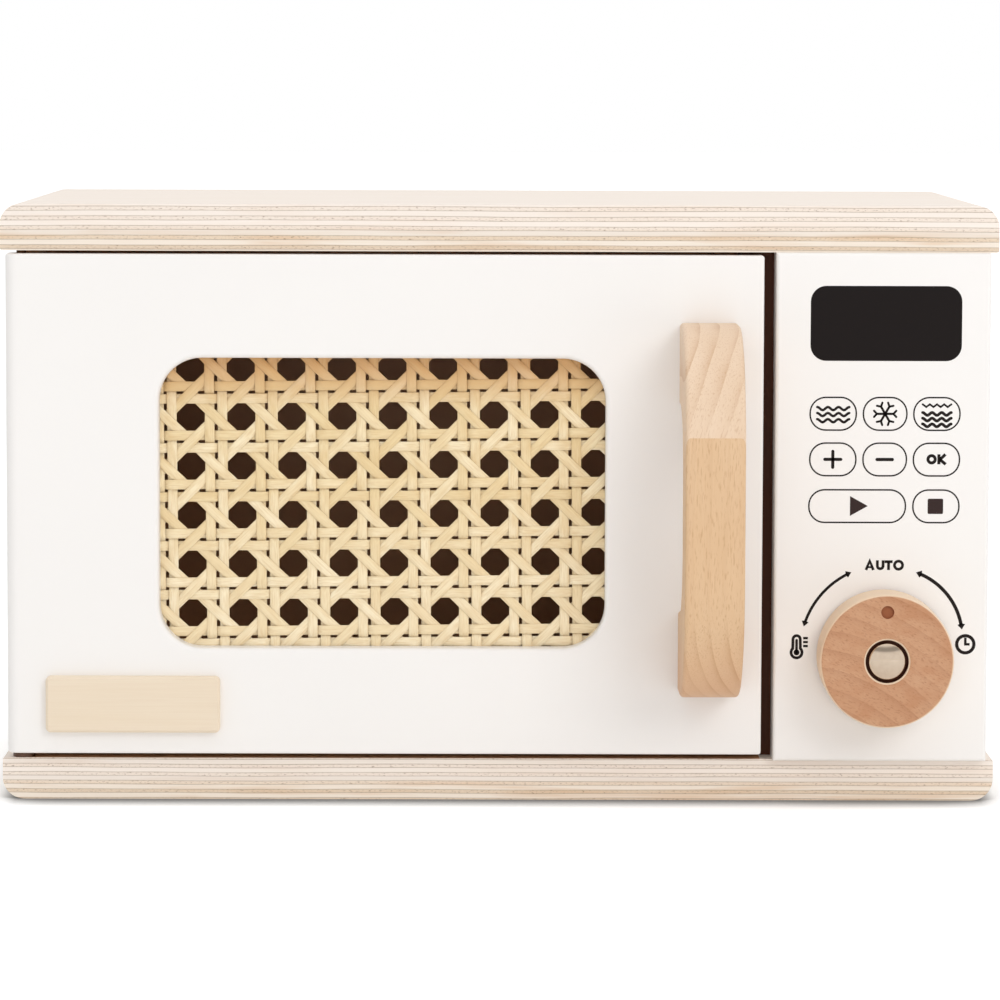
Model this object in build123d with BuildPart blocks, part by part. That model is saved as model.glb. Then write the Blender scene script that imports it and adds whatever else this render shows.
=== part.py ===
"""Wooden toy microwave oven with a cane-webbed door, a turning dial and a turntable.

Millimetres. X runs to the right along the front, Y from front to back and Z up. The origin is
on the floor, below the middle of the toy's overall box. Two plywood boards carry everything:
the walls, the back and the control panel stand between them, and the door turns between them
on two steel pins.
"""
import os
from math import atan2, cos, degrees, hypot, radians, sin, tan

from build123d import *

os.makedirs("parts", exist_ok=True)

# ------------------------------------------------------------------ driving dimensions
overall_width = 300.0
overall_height = 180.0
board_depth = 160.0
bottom_board_thickness = 12.55
top_board_thickness = 14.0
board_end_radius = 6.5  # rounding of the outer edges at both ends
board_ease = 0.8  # rounding of the inner edges at both ends

door_proud = 4.0  # door and control panel stand this far in front of the boards
handle_reach = 46.0
side_wall_thickness = 9.0
side_wall_inset = 4.0  # from the ends of the boards
divider_thickness = 14.0
divider_right_x = 86.0
back_thickness = 6.0
back_inset = 2.0

door_left_x = -148.2
door_width = 227.55
door_thickness = 12.0
door_top_gap = 0.9
door_bottom_gap = 1.85
door_rear_gap = 1.0
door_corner_radius = 3.5  # both long edges beside the hinge
door_ease = 0.8
hinge_inset = 4.5  # hinge axis from the door's left edge, and from its rear face
hinge_pin_radius = 1.5
hinge_pin_in_door = 14.0
hinge_pin_in_board = 8.0
hinge_pin_chamfer = 0.3
hinge_washer_radius = 3.4
running_gap = 0.08  # radial clearance of everything that turns
seat_gap = 0.05  # between flat faces that slide on each other
snug_gap = 0.02  # radial clearance of what is pressed or screwed home
end_gap = 0.5  # beyond the end of a pin or bolt in its hole
head_gap = 0.1  # round the head of a countersunk screw
head_sink = 0.05  # of a countersunk head below the face it sits in

window_width = 134.2
window_height = 87.5
window_center_x = -35.05
window_center_z = 90.3
window_corner_radius = 13.0
window_lip_radius = 1.5
lip_thickness = 6.0  # of the door in front of the cane
rabbet_margin = 14.5  # rabbet beyond the window, all round
rabbet_corner_radius = 8.0

cane_thickness = 1.6  # of the whole webbing
cane_margin = 9.0  # cane beyond the window, all round
cane_turn = 0.55  # degrees by which the webbing is out of square with the window
hole_pitch_x = 15.235  # of the octagonal holes in the cane
hole_pitch_z = 14.845
hole_x = -31.75  # centre of one of these holes, before the webbing is turned
hole_z = 101.46
strand_width = 2.9
strand_thickness = 0.4
upright_spacing = 3.85  # between the two uprights of a pair
rail_spacing = 3.75
slow_bend = 5.5  # half the length over which a strand changes sides between slanting strands
quick_bend = 1.1  # the same between the two strands of a pair that crosses it
slant_rest = 1.75  # half the length over which a slanting strand lies level on a pair
path_repeats = 6  # of a strand's path, each way from its place, before it is cut off

retainer_setback = 1.5  # of the retainer's opening from the window's edge
retainer_gap = 0.15  # round the retainer in its rabbet
retainer_relief = 0.1  # of the retainer below the door's rear face
retainer_screw_inset = 2.8  # from the edge of the rabbet
retainer_screw_hole_depth = 4.0

handle_center_x = 62.9
handle_center_z = 89.25
handle_width = 17.6
handle_length = 111.4
handle_outer_radius = 36.0
arch_length = 62.0
arch_clearance = 27.0
arch_radius = 20.0
handle_ease = 1.3
handle_screw_spacing = 87.0

plate_width = 52.4
plate_height = 17.0
plate_thickness = 3.0
plate_corner_radius = 1.5
plate_chamfer = 0.7
plate_center_x = -110.1
plate_center_z = 29.6

panel_left_x = 83.0
panel_right_x = 147.4
panel_ease = 1.0

knob_x = 115.8
knob_z = 45.0
knob_radius = 20.0
knob_thickness = 16.5
knob_standoff = 1.0  # spacer between the panel and the knob
knob_ease = 0.9
knob_well_radius = 6.4
knob_well_depth = 3.6
knob_well_chamfer = 0.5
marker_radius = 1.9
marker_depth = 0.8
marker_offset = 14.8
bolt_radius = 3.0
bolt_head_radius = 5.4
bolt_head_rim = 1.3
bolt_head_height = 2.9
bolt_length = 37.5
nut_across_flats = 10.0
nut_thickness = 5.0
washer_radius = 7.0
washer_thickness = 1.0

turntable_radius = 60.0
turntable_thickness = 5.0
turntable_lift = 2.0
turntable_ease = 0.8
turntable_screw_radius = 2.5
turntable_head_radius = 4.5
turntable_head_height = 2.2
turntable_head_ease = 1.5
turntable_screw_in_board = 9.0
turntable_well_radius = 5.0
turntable_well_depth = 2.4
turntable_washer_radius = 9.0

magnet_radius = 2.45
magnet_thickness = 3.2
magnet_proud = 0.8
magnet_inset = 3.2  # from the divider's face in the oven
strike_thickness = 2.0

# ------------------------------------------------------------------ planes and levels
face_y = -(board_depth + door_proud + handle_reach) / 2 + handle_reach  # door and panel front
board_front_y = face_y + door_proud
board_rear_y = board_front_y + board_depth
door_rear_y = face_y + door_thickness
wall_front_y = door_rear_y + door_rear_gap
back_rear_y = board_rear_y - back_inset
back_front_y = back_rear_y - back_thickness
cane_front_y = face_y + lip_thickness
cane_rear_y = cane_front_y + cane_thickness
retainer_rear_y = door_rear_y - retainer_relief

floor_z = bottom_board_thickness  # inner faces of the two boards
ceiling_z = overall_height - top_board_thickness
wall_height = ceiling_z - floor_z
door_bottom_z = floor_z + door_bottom_gap
door_top_z = ceiling_z - door_top_gap

wall_outer_x = overall_width / 2 - side_wall_inset
wall_inner_x = wall_outer_x - side_wall_thickness
divider_left_x = divider_right_x - divider_thickness
hinge_x = door_left_x + hinge_inset
hinge_y = door_rear_y - hinge_inset
magnet_x = divider_left_x + magnet_inset
turntable_x = (divider_left_x - wall_inner_x) / 2
turntable_y = (wall_front_y + back_front_y) / 2

# ------------------------------------------------------------------ where the fixings go
COUNTERSINK_ANGLE = 82
wall_fixing_depths = (-20, 70)
back_fixing_heights = (36, 143)
panel_dowel_columns = (94, 136)
panel_dowel_inset = 4.5  # behind the boards' front
retainer_screw_columns = 0.45  # share of the half width, for the screws above and below
retainer_screw_rows = 0.8  # share of the half height, for the screws at the sides
left_wall_x = -(wall_outer_x + wall_inner_x) / 2
right_wall_x = (wall_outer_x + wall_inner_x) / 2
divider_x = (divider_left_x + divider_right_x) / 2
wall_fixings = [(x, y) for x in (left_wall_x, divider_x, right_wall_x)
                for y in wall_fixing_depths]
back_fixings = [(x, z) for x in (left_wall_x, divider_x, right_wall_x)
                for z in back_fixing_heights]
panel_fixings = [(x, board_front_y + panel_dowel_inset) for x in panel_dowel_columns]
handle_fixings = [(handle_center_x, handle_center_z + side * handle_screw_spacing / 2)
                  for side in (-1, 1)]
retainer_half_x = window_width / 2 + rabbet_margin - retainer_screw_inset
retainer_half_z = window_height / 2 + rabbet_margin - retainer_screw_inset
retainer_fixings = [(window_center_x + side * column * retainer_half_x,
                     window_center_z + level * row * retainer_half_z)
                    for column, row in ((1, retainer_screw_rows), (retainer_screw_columns, 1))
                    for side in (-1, 1) for level in (-1, 1)]
wall_screw_size = {"length": 38.0, "shank_radius": 2.0, "head_radius": 4.0}
back_screw_size = {"length": 22.0, "shank_radius": 1.5, "head_radius": 3.0}
handle_screw_size = {"length": 28.0, "shank_radius": 2.0, "head_radius": 3.8}
retainer_screw_size = {"length": 8.5, "shank_radius": 1.0, "head_radius": 2.0}
wall_dowel_radius = 3.0
wall_dowel_in_wall = 14.0
wall_dowel_in_board = 10.0
panel_dowel_radius = 2.5
panel_dowel_in_panel = 10.0
panel_dowel_in_board = 8.0


def front_plane(y):
    """Upright plane at depth y: its x is X, its y is Z, and minus amounts extrude backwards."""
    return Plane.XZ.offset(-y)


def outward_plane(x, z):
    """Plane through the panel's face at x, z: its x points out at the child, its y is Z."""
    return Plane(origin=(x, face_y, z), x_dir=(0, -1, 0), z_dir=(-1, 0, 0))


def hole_plane(x, y, z, direction):
    """Plane at the mouth of a hole, with its normal pointing out of the wood."""
    return Plane(origin=(x, y, z), z_dir=direction)


def keep(name, builder):
    """Label a finished piece and write it to parts/."""
    builder.part.label = name
    export_step(builder.part, f"parts/{name}.step")


def countersunk_screw(length, shank_radius, head_radius):
    """Wood screw along +Z, with its flat head at Z = 0 and its point up."""
    head_depth = (head_radius - shank_radius) / tan(radians(COUNTERSINK_ANGLE / 2))
    with BuildPart() as screw:
        with BuildSketch(Plane.XZ):
            with BuildLine():
                Polyline((0, 0), (head_radius, 0), (shank_radius, head_depth),
                         (shank_radius, length - 2 * shank_radius), (0, length), close=True)
            make_face()
        revolve(axis=Axis.Z)
    return screw.part


def board(thickness, bottom_z, outer_side):
    """Plywood board with its two outer end edges well rounded; outer_side is 0 below, -1 above."""
    with BuildPart() as plank:
        with BuildSketch(Plane.XY.offset(bottom_z)):
            with Locations((0, (board_front_y + board_rear_y) / 2)):
                Rectangle(overall_width, board_depth)
        extrude(amount=thickness)
        ends = plank.edges().filter_by(Axis.Y)
        fillet(ends.group_by(Axis.Z)[outer_side], board_end_radius)
        ends = plank.faces().filter_by(Axis.Z).sort_by(Axis.Z)[-1 - outer_side].edges()
        fillet(ends.filter_by(Axis.Y), board_ease)
    return plank.part


# ------------------------------------------------------------------ boards
with BuildPart() as bottom_board:
    add(board(bottom_board_thickness, 0, 0))
    with Locations(*[hole_plane(x, y, 0, (0, 0, -1)) for x, y in wall_fixings]):
        CounterSinkHole(wall_screw_size["shank_radius"] + snug_gap,
                        wall_screw_size["head_radius"] + head_gap, bottom_board_thickness)
    with Locations((hinge_x, hinge_y, floor_z)):
        Hole(hinge_pin_radius + running_gap, hinge_pin_in_board + end_gap)
    with Locations(*[(x, y, floor_z) for x, y in panel_fixings]):
        Hole(panel_dowel_radius + snug_gap, panel_dowel_in_board)
    with Locations((turntable_x, turntable_y, floor_z)):
        Hole(turntable_screw_radius + snug_gap, turntable_screw_in_board + end_gap)
keep("bottom_board", bottom_board)

with BuildPart() as top_board:
    add(board(top_board_thickness, ceiling_z, -1))
    with Locations(hole_plane(hinge_x, hinge_y, ceiling_z, (0, 0, -1))):
        Hole(hinge_pin_radius + running_gap, hinge_pin_in_board + end_gap)
    with Locations(*[hole_plane(x, y, ceiling_z, (0, 0, -1)) for x, y in wall_fixings]):
        Hole(wall_dowel_radius + snug_gap, wall_dowel_in_board)
    with Locations(*[hole_plane(x, y, ceiling_z, (0, 0, -1)) for x, y in panel_fixings]):
        Hole(panel_dowel_radius + snug_gap, panel_dowel_in_board)
keep("top_board", top_board)


# ------------------------------------------------------------------ upright walls
def wall(left_x, thickness, fixings):
    """Upright wall between the boards, bored for its dowels, its screws and the back's screws."""
    with BuildPart() as panel:
        with BuildSketch(Plane.XY.offset(floor_z)):
            with Locations((left_x, wall_front_y)):
                Rectangle(thickness, back_front_y - wall_front_y, align=(Align.MIN, Align.MIN))
        extrude(amount=wall_height)
        with Locations(*[hole_plane(x, y, floor_z, (0, 0, -1)) for x, y in fixings]):
            Hole(wall_screw_size["shank_radius"] + snug_gap,
                 wall_screw_size["length"] - bottom_board_thickness + end_gap)
        with Locations(*[(x, y, ceiling_z) for x, y in fixings]):
            Hole(wall_dowel_radius + snug_gap, wall_dowel_in_wall)
        back_holes = [(x, z) for x, z in back_fixings if x == fixings[0][0]]
        with Locations(*[hole_plane(x, back_front_y, z, (0, 1, 0)) for x, z in back_holes]):
            Hole(back_screw_size["shank_radius"] + snug_gap,
                 back_screw_size["length"] - back_thickness + end_gap)
    return panel.part


swing_relief = 2.5  # rounding that lets the door's hinge edge swing past the left wall
with BuildPart() as left_wall:
    add(wall(-wall_outer_x, side_wall_thickness, wall_fixings[0:2]))
    fillet(left_wall.edges().filter_by(Axis.Z).group_by(Axis.Y)[0].sort_by(Axis.X)[0], swing_relief)
keep("left_wall", left_wall)

with BuildPart() as divider_wall:
    add(wall(divider_left_x, divider_thickness, wall_fixings[2:4]))
    with Locations(hole_plane(magnet_x, wall_front_y, handle_center_z, (0, -1, 0))):
        Hole(magnet_radius + snug_gap, magnet_thickness - magnet_proud)
keep("divider_wall", divider_wall)

with BuildPart() as right_wall:
    add(wall(wall_inner_x, side_wall_thickness, wall_fixings[4:6]))
keep("right_wall", right_wall)

with BuildPart() as back_panel:
    with BuildSketch(front_plane(back_front_y)):
        with Locations((0, (floor_z + ceiling_z) / 2)):
            Rectangle(2 * wall_outer_x, wall_height)
    extrude(amount=-back_thickness)
    with Locations(*[hole_plane(x, back_rear_y, z, (0, 1, 0)) for x, z in back_fixings]):
        CounterSinkHole(back_screw_size["shank_radius"] + snug_gap,
                        back_screw_size["head_radius"] + head_gap, back_thickness)
keep("back_panel", back_panel)

# ------------------------------------------------------------------ control panel
with BuildPart() as control_panel:
    with BuildSketch(front_plane(face_y)):
        with Locations((panel_left_x, floor_z)):
            Rectangle(panel_right_x - panel_left_x, wall_height, align=(Align.MIN, Align.MIN))
    extrude(amount=-(wall_front_y - face_y))
    fillet(control_panel.faces().sort_by(Axis.Y)[0].edges(), panel_ease)
    with Locations(hole_plane(knob_x, face_y, knob_z, (0, -1, 0))):
        Hole(bolt_radius + snug_gap)
    with Locations(*[(x, y, ceiling_z) for x, y in panel_fixings]):
        Hole(panel_dowel_radius + snug_gap, panel_dowel_in_panel)
    with Locations(*[hole_plane(x, y, floor_z, (0, 0, -1)) for x, y in panel_fixings]):
        Hole(panel_dowel_radius + snug_gap, panel_dowel_in_panel)
keep("control_panel", control_panel)

# ------------------------------------------------------------------ door
window_center = (window_center_x, window_center_z)
with BuildPart() as door_panel:
    with BuildSketch(front_plane(face_y)):
        with Locations((door_left_x, door_bottom_z)):
            Rectangle(door_width, door_top_z - door_bottom_z, align=(Align.MIN, Align.MIN))
    extrude(amount=-door_thickness)
    long_edges = door_panel.edges().filter_by(Axis.Z).group_by(Axis.X)
    fillet(long_edges[0], door_corner_radius)
    fillet(door_panel.edges().filter_by(Axis.Z).group_by(Axis.X)[-1], door_ease)
    level_faces = door_panel.faces().filter_by(Axis.Z)
    fillet(level_faces.edges(), door_ease)
    with BuildSketch(front_plane(face_y)):
        with Locations(window_center):
            RectangleRounded(window_width, window_height, window_corner_radius)
    extrude(amount=-door_thickness, mode=Mode.SUBTRACT)
    front_face = door_panel.faces().sort_by(Axis.Y)[0]
    fillet(front_face.inner_wires()[0].edges(), window_lip_radius)
    with BuildSketch(front_plane(cane_front_y)):
        with Locations(window_center):
            RectangleRounded(window_width + 2 * rabbet_margin, window_height + 2 * rabbet_margin,
                             rabbet_corner_radius)
    extrude(amount=-(door_thickness - lip_thickness), mode=Mode.SUBTRACT)
    with Locations((hinge_x, hinge_y, door_top_z),
                   hole_plane(hinge_x, hinge_y, door_bottom_z, (0, 0, -1))):
        Hole(hinge_pin_radius + snug_gap, hinge_pin_in_door)
    with Locations(*[hole_plane(x, door_rear_y, z, (0, 1, 0)) for x, z in handle_fixings]):
        CounterSinkHole(handle_screw_size["shank_radius"] + snug_gap,
                        handle_screw_size["head_radius"] + head_gap, door_thickness)
    with Locations(*[hole_plane(x, cane_front_y, z, (0, 1, 0)) for x, z in retainer_fixings]):
        Hole(retainer_screw_size["shank_radius"] + snug_gap, retainer_screw_hole_depth)
    with Locations(hole_plane(magnet_x, door_rear_y, handle_center_z, (0, 1, 0))):
        Hole(magnet_radius + snug_gap, strike_thickness)
keep("door_panel", door_panel)

# ------------------------------------------------------------------ cane webbing
# Hand caning in six strands a repeat. Uprights and rails run in pairs and are woven plainly: the
# two strands of a pair change sides together, one going back as the other comes forward. Halfway
# between, slanting strands cross each pair: those that fall to the right lie in front of the
# uprights and behind the rails, and those that rise to the right do the reverse.
cane_width = window_width + 2 * cane_margin
cane_height = window_height + 2 * cane_margin
strand_swing = (cane_thickness - strand_thickness) / 2  # of a strand's middle, back or forward
slant_pitch = hypot(hole_pitch_x, hole_pitch_z)
slant_angle = degrees(atan2(hole_pitch_z, hole_pitch_x))
upright_pairs = [hole_x + (step + 0.5) * hole_pitch_x for step in range(-5, 5)]
rail_pairs = [hole_z + (step + 0.5) * hole_pitch_z for step in range(-4, 3)]
slant_feet = [(hole_x + (step + 0.5) * hole_pitch_x, hole_z) for step in range(-10, 10)]


def strand_plane(x, z, angle):
    """Plane at a point of the webbing: its x runs along the strand, its y to the front."""
    turned = Vector(x - window_center_x, z - window_center_z).rotate(Axis.Z, cane_turn)
    slope = radians(angle + cane_turn)
    return Plane(origin=(window_center_x + turned.X, cane_front_y + cane_thickness / 2,
                         window_center_z + turned.Y),
                 x_dir=(cos(slope), 0, sin(slope)), z_dir=(sin(slope), 0, -cos(slope)))


def strand(pitch, bends):
    """Flat strand along X; bends are the ends of its level stretches in one pitch."""
    path = [(step * pitch + along, depth)
            for step in range(-path_repeats, path_repeats) for along, depth in bends]
    with BuildPart() as woven:
        with BuildSketch():
            with BuildLine():
                front = Polyline(*[(along, depth + strand_thickness / 2) for along, depth in path])
                back = Polyline(*[(along, depth - strand_thickness / 2) for along, depth in path])
                Line(front @ 0, back @ 0)
                Line(front @ 1, back @ 1)
            make_face()
        extrude(amount=strand_width / 2, both=True)
    return woven.part


def straight_strand(pitch, sense):
    """Upright or rail that comes forward, or goes back where sense is -1, as it passes a hole."""
    swing = sense * strand_swing
    return strand(pitch, [(-slow_bend, -swing), (slow_bend, swing),
                          (pitch / 2 - quick_bend, swing), (pitch / 2 + quick_bend, -swing)])


def slanting_strand(sense):
    """Strand that lies in front of the uprights, or behind them where sense is -1."""
    swing = sense * strand_swing
    return strand(slant_pitch, [(-slant_rest, swing), (slant_rest, swing),
                                (slant_pitch / 2 - slant_rest, -swing),
                                (slant_pitch / 2 + slant_rest, -swing)])


def webbing(name, angle, layers):
    """One family of strands, cut off square; layers are a strand and the places it is laid at."""
    with BuildPart() as family:
        for laid, places in layers:
            with Locations(*[strand_plane(x, z, angle) for x, z in places]):
                add(laid)
        with BuildSketch(front_plane(cane_front_y)):
            with Locations(window_center):
                Rectangle(cane_width, cane_height)
        extrude(amount=-cane_thickness, mode=Mode.INTERSECT)
    keep(name, family)


webbing("cane_uprights", 90,
        [(straight_strand(hole_pitch_z, side),
          [(x + side * upright_spacing / 2, hole_z) for x in upright_pairs]) for side in (-1, 1)])
webbing("cane_rails", 0,
        [(straight_strand(hole_pitch_x, -side),
          [(hole_x, z + side * rail_spacing / 2) for z in rail_pairs]) for side in (-1, 1)])
webbing("cane_rising_diagonals", slant_angle, [(slanting_strand(-1), slant_feet)])
webbing("cane_falling_diagonals", -slant_angle, [(slanting_strand(1), slant_feet)])

with BuildPart() as cane_retainer:
    with BuildSketch(front_plane(cane_rear_y)):
        with Locations(window_center):
            RectangleRounded(window_width + 2 * (rabbet_margin - retainer_gap),
                             window_height + 2 * (rabbet_margin - retainer_gap),
                             rabbet_corner_radius)
            RectangleRounded(window_width + 2 * retainer_setback,
                             window_height + 2 * retainer_setback, window_corner_radius,
                             mode=Mode.SUBTRACT)
    extrude(amount=-(retainer_rear_y - cane_rear_y))
    with Locations(*[hole_plane(x, retainer_rear_y, z, (0, 1, 0)) for x, z in retainer_fixings]):
        CounterSinkHole(retainer_screw_size["shank_radius"] + snug_gap,
                        retainer_screw_size["head_radius"] + head_gap,
                        retainer_rear_y - cane_rear_y)
keep("cane_retainer", cane_retainer)

# ------------------------------------------------------------------ handle
with BuildPart() as door_handle:
    with BuildSketch(outward_plane(handle_center_x + handle_width / 2, handle_center_z)) as bow:
        Rectangle(handle_reach, handle_length, align=(Align.MIN, Align.CENTER))
        fillet(bow.vertices().group_by(Axis.X)[-1], handle_outer_radius)
        RectangleRounded(2 * arch_clearance, arch_length, arch_radius, mode=Mode.SUBTRACT)
    extrude(amount=handle_width)
    outline = door_handle.faces().filter_by(Axis.X).edges()
    fillet(outline.filter_by(lambda edge: edge.center().Y < face_y - seat_gap), handle_ease)
    with Locations(*[hole_plane(x, face_y, z, (0, 1, 0)) for x, z in handle_fixings]):
        Hole(handle_screw_size["shank_radius"] + snug_gap,
             handle_screw_size["length"] - door_thickness + end_gap)
keep("door_handle", door_handle)

# ------------------------------------------------------------------ name plate, left bare
with BuildPart() as name_plate:
    with BuildSketch(front_plane(face_y)):
        with Locations((plate_center_x, plate_center_z)):
            RectangleRounded(plate_width, plate_height, plate_corner_radius)
    extrude(amount=plate_thickness)
    chamfer(name_plate.faces().sort_by(Axis.Y)[0].edges(), plate_chamfer)
keep("name_plate", name_plate)


# ------------------------------------------------------------------ hinge, magnet and strike
def pin(radius, bottom, top):
    """Round steel pin on the hinge axis, with both ends chamfered."""
    with BuildPart() as rod:
        with BuildSketch(Plane.XY.offset(bottom)):
            with Locations((hinge_x, hinge_y)):
                Circle(radius)
        extrude(amount=top - bottom)
        chamfer(rod.edges().filter_by(GeomType.CIRCLE), hinge_pin_chamfer)
    return rod


keep("hinge_pin_top", pin(hinge_pin_radius, door_top_z - hinge_pin_in_door,
                          ceiling_z + hinge_pin_in_board))
keep("hinge_pin_bottom", pin(hinge_pin_radius, floor_z - hinge_pin_in_board,
                             door_bottom_z + hinge_pin_in_door))

with BuildPart() as hinge_washer:
    with BuildSketch(Plane.XY.offset(floor_z)):
        with Locations((hinge_x, hinge_y)):
            Circle(hinge_washer_radius)
            Circle(hinge_pin_radius + running_gap, mode=Mode.SUBTRACT)
    extrude(amount=door_bottom_gap - seat_gap)
keep("hinge_washer", hinge_washer)


def disc(x, front_y, z, radius, thickness):
    """Flat round disc that faces the front."""
    with BuildPart() as button:
        with BuildSketch(front_plane(front_y)):
            with Locations((x, z)):
                Circle(radius)
        extrude(amount=-thickness)
    return button


keep("door_magnet", disc(magnet_x, wall_front_y - magnet_proud, handle_center_z,
                         magnet_radius, magnet_thickness))
keep("strike_disc", disc(magnet_x, door_rear_y - strike_thickness, handle_center_z,
                         magnet_radius, strike_thickness))

# ------------------------------------------------------------------ knob on its bolt
knob_front_y = face_y - knob_standoff - knob_thickness
well_floor_y = knob_front_y + knob_well_depth
knob_front = hole_plane(knob_x, knob_front_y, knob_z, (0, -1, 0))
with BuildPart() as control_knob:
    with BuildSketch(front_plane(knob_front_y)):
        with Locations((knob_x, knob_z)):
            Circle(knob_radius)
    extrude(amount=-(knob_thickness - seat_gap))
    fillet(control_knob.edges(), knob_ease)
    with Locations(knob_front):
        CounterBoreHole(bolt_radius + running_gap, knob_well_radius, knob_well_depth,
                        knob_thickness)
    mouth = control_knob.faces().sort_by(Axis.Y)[0].edges().sort_by(SortBy.LENGTH)[0]
    chamfer(mouth, knob_well_chamfer)
    with Locations(hole_plane(knob_x, knob_front_y, knob_z + marker_offset, (0, -1, 0))):
        Hole(marker_radius, marker_depth)
keep("control_knob", control_knob)

bolt_axis = Axis((knob_x, 0, knob_z), (0, -1, 0))
head_base = face_y - well_floor_y + seat_gap  # head's underside, out from the panel's face
head_top = head_base + bolt_head_height
head_rim = head_base + bolt_head_rim
dome_height = head_top - head_rim
dome_radius = (bolt_head_radius**2 + dome_height**2) / (2 * dome_height)
with BuildPart() as knob_bolt:
    with BuildSketch(outward_plane(knob_x, knob_z)):
        with BuildLine():
            rim = Polyline((head_top, 0), (head_base - bolt_length, 0),
                           (head_base - bolt_length, bolt_radius), (head_base, bolt_radius),
                           (head_base, bolt_head_radius), (head_rim, bolt_head_radius))
            RadiusArc(rim @ 1, rim @ 0, dome_radius)
        make_face()
    revolve(axis=bolt_axis)
keep("knob_bolt", knob_bolt)


def ring(front_y, outer_radius, thickness):
    """Washer on the knob's bolt."""
    with BuildPart() as washer:
        with BuildSketch(front_plane(front_y)):
            with Locations((knob_x, knob_z)):
                Circle(outer_radius)
                Circle(bolt_radius + running_gap, mode=Mode.SUBTRACT)
        extrude(amount=-thickness)
    return washer


keep("knob_spacer", ring(face_y - knob_standoff, washer_radius, knob_standoff))
keep("knob_washer", ring(wall_front_y, washer_radius, washer_thickness))

with BuildPart() as knob_nut:
    with BuildSketch(front_plane(wall_front_y + washer_thickness)):
        with Locations((knob_x, knob_z)):
            RegularPolygon(nut_across_flats / 2, 6, major_radius=False)
            Circle(bolt_radius + snug_gap, mode=Mode.SUBTRACT)
    extrude(amount=-nut_thickness)
keep("knob_nut", knob_nut)

# ------------------------------------------------------------------ turntable
turntable_bottom_z = floor_z + turntable_lift
turntable_top_z = turntable_bottom_z + turntable_thickness
turntable_well_z = turntable_top_z - turntable_well_depth
with BuildPart() as turntable_plate:
    with BuildSketch(Plane.XY.offset(turntable_bottom_z)):
        with Locations((turntable_x, turntable_y)):
            Circle(turntable_radius)
    extrude(amount=turntable_thickness)
    chamfer(turntable_plate.edges().filter_by(GeomType.CIRCLE), turntable_ease)
    with Locations((turntable_x, turntable_y, turntable_top_z)):
        CounterBoreHole(turntable_screw_radius + running_gap, turntable_well_radius,
                        turntable_well_depth, turntable_thickness)
keep("turntable_plate", turntable_plate)

with BuildPart() as turntable_washer:
    with BuildSketch(Plane.XY.offset(floor_z)):
        with Locations((turntable_x, turntable_y)):
            Circle(turntable_washer_radius)
            Circle(turntable_screw_radius + running_gap, mode=Mode.SUBTRACT)
    extrude(amount=turntable_lift - seat_gap)
keep("turntable_washer", turntable_washer)

with BuildPart() as turntable_screw:
    with BuildSketch(Plane.XY.offset(turntable_well_z + seat_gap)):
        with Locations((turntable_x, turntable_y)):
            Circle(turntable_head_radius)
    extrude(amount=turntable_head_height)
    fillet(turntable_screw.edges().group_by(Axis.Z)[-1], turntable_head_ease)
    with BuildSketch(Plane.XY.offset(floor_z - turntable_screw_in_board)):
        with Locations((turntable_x, turntable_y)):
            Circle(turntable_screw_radius)
    extrude(amount=turntable_screw_in_board + turntable_well_z + seat_gap - floor_z)
keep("turntable_screw", turntable_screw)


# ------------------------------------------------------------------ screws and dowels
def screw_group(name, size, heads):
    """Identical screws, one at each head plane, whose normal points out of the wood."""
    screw = countersunk_screw(**size)
    with BuildPart() as group:
        with Locations(*[Plane(origin=head.origin, z_dir=-head.z_dir) for head in heads]):
            add(screw)
    keep(name, group)


screw_group("wall_screws", wall_screw_size,
            [hole_plane(x, y, head_sink, (0, 0, -1)) for x, y in wall_fixings])
screw_group("back_screws", back_screw_size,
            [hole_plane(x, back_rear_y - head_sink, z, (0, 1, 0)) for x, z in back_fixings])
screw_group("handle_screws", handle_screw_size,
            [hole_plane(x, door_rear_y - head_sink, z, (0, 1, 0)) for x, z in handle_fixings])
screw_group("retainer_screws", retainer_screw_size,
            [hole_plane(x, retainer_rear_y - head_sink, z, (0, 1, 0)) for x, z in retainer_fixings])


def dowel_group(name, radius, places, spans):
    """Identical upright beech dowels, one at each place in each span from bottom to top."""
    with BuildPart() as group:
        for bottom, top in spans:
            with BuildSketch(Plane.XY.offset(bottom)):
                with Locations(*places):
                    Circle(radius)
            extrude(amount=top - bottom)
    keep(name, group)


dowel_group("wall_dowels", wall_dowel_radius, wall_fixings,
            [(ceiling_z - wall_dowel_in_wall, ceiling_z + wall_dowel_in_board)])
dowel_group("panel_dowels", panel_dowel_radius, panel_fixings,
            [(floor_z - panel_dowel_in_board, floor_z + panel_dowel_in_panel),
             (ceiling_z - panel_dowel_in_panel, ceiling_z + panel_dowel_in_board)])
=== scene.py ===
"""The looks of a wooden toy microwave oven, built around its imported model. Metres; +Z is up."""
from math import atan2, ceil, cos, degrees, hypot, pi, radians, sin

import bmesh
import bpy
from mathutils import Matrix, Vector


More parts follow.
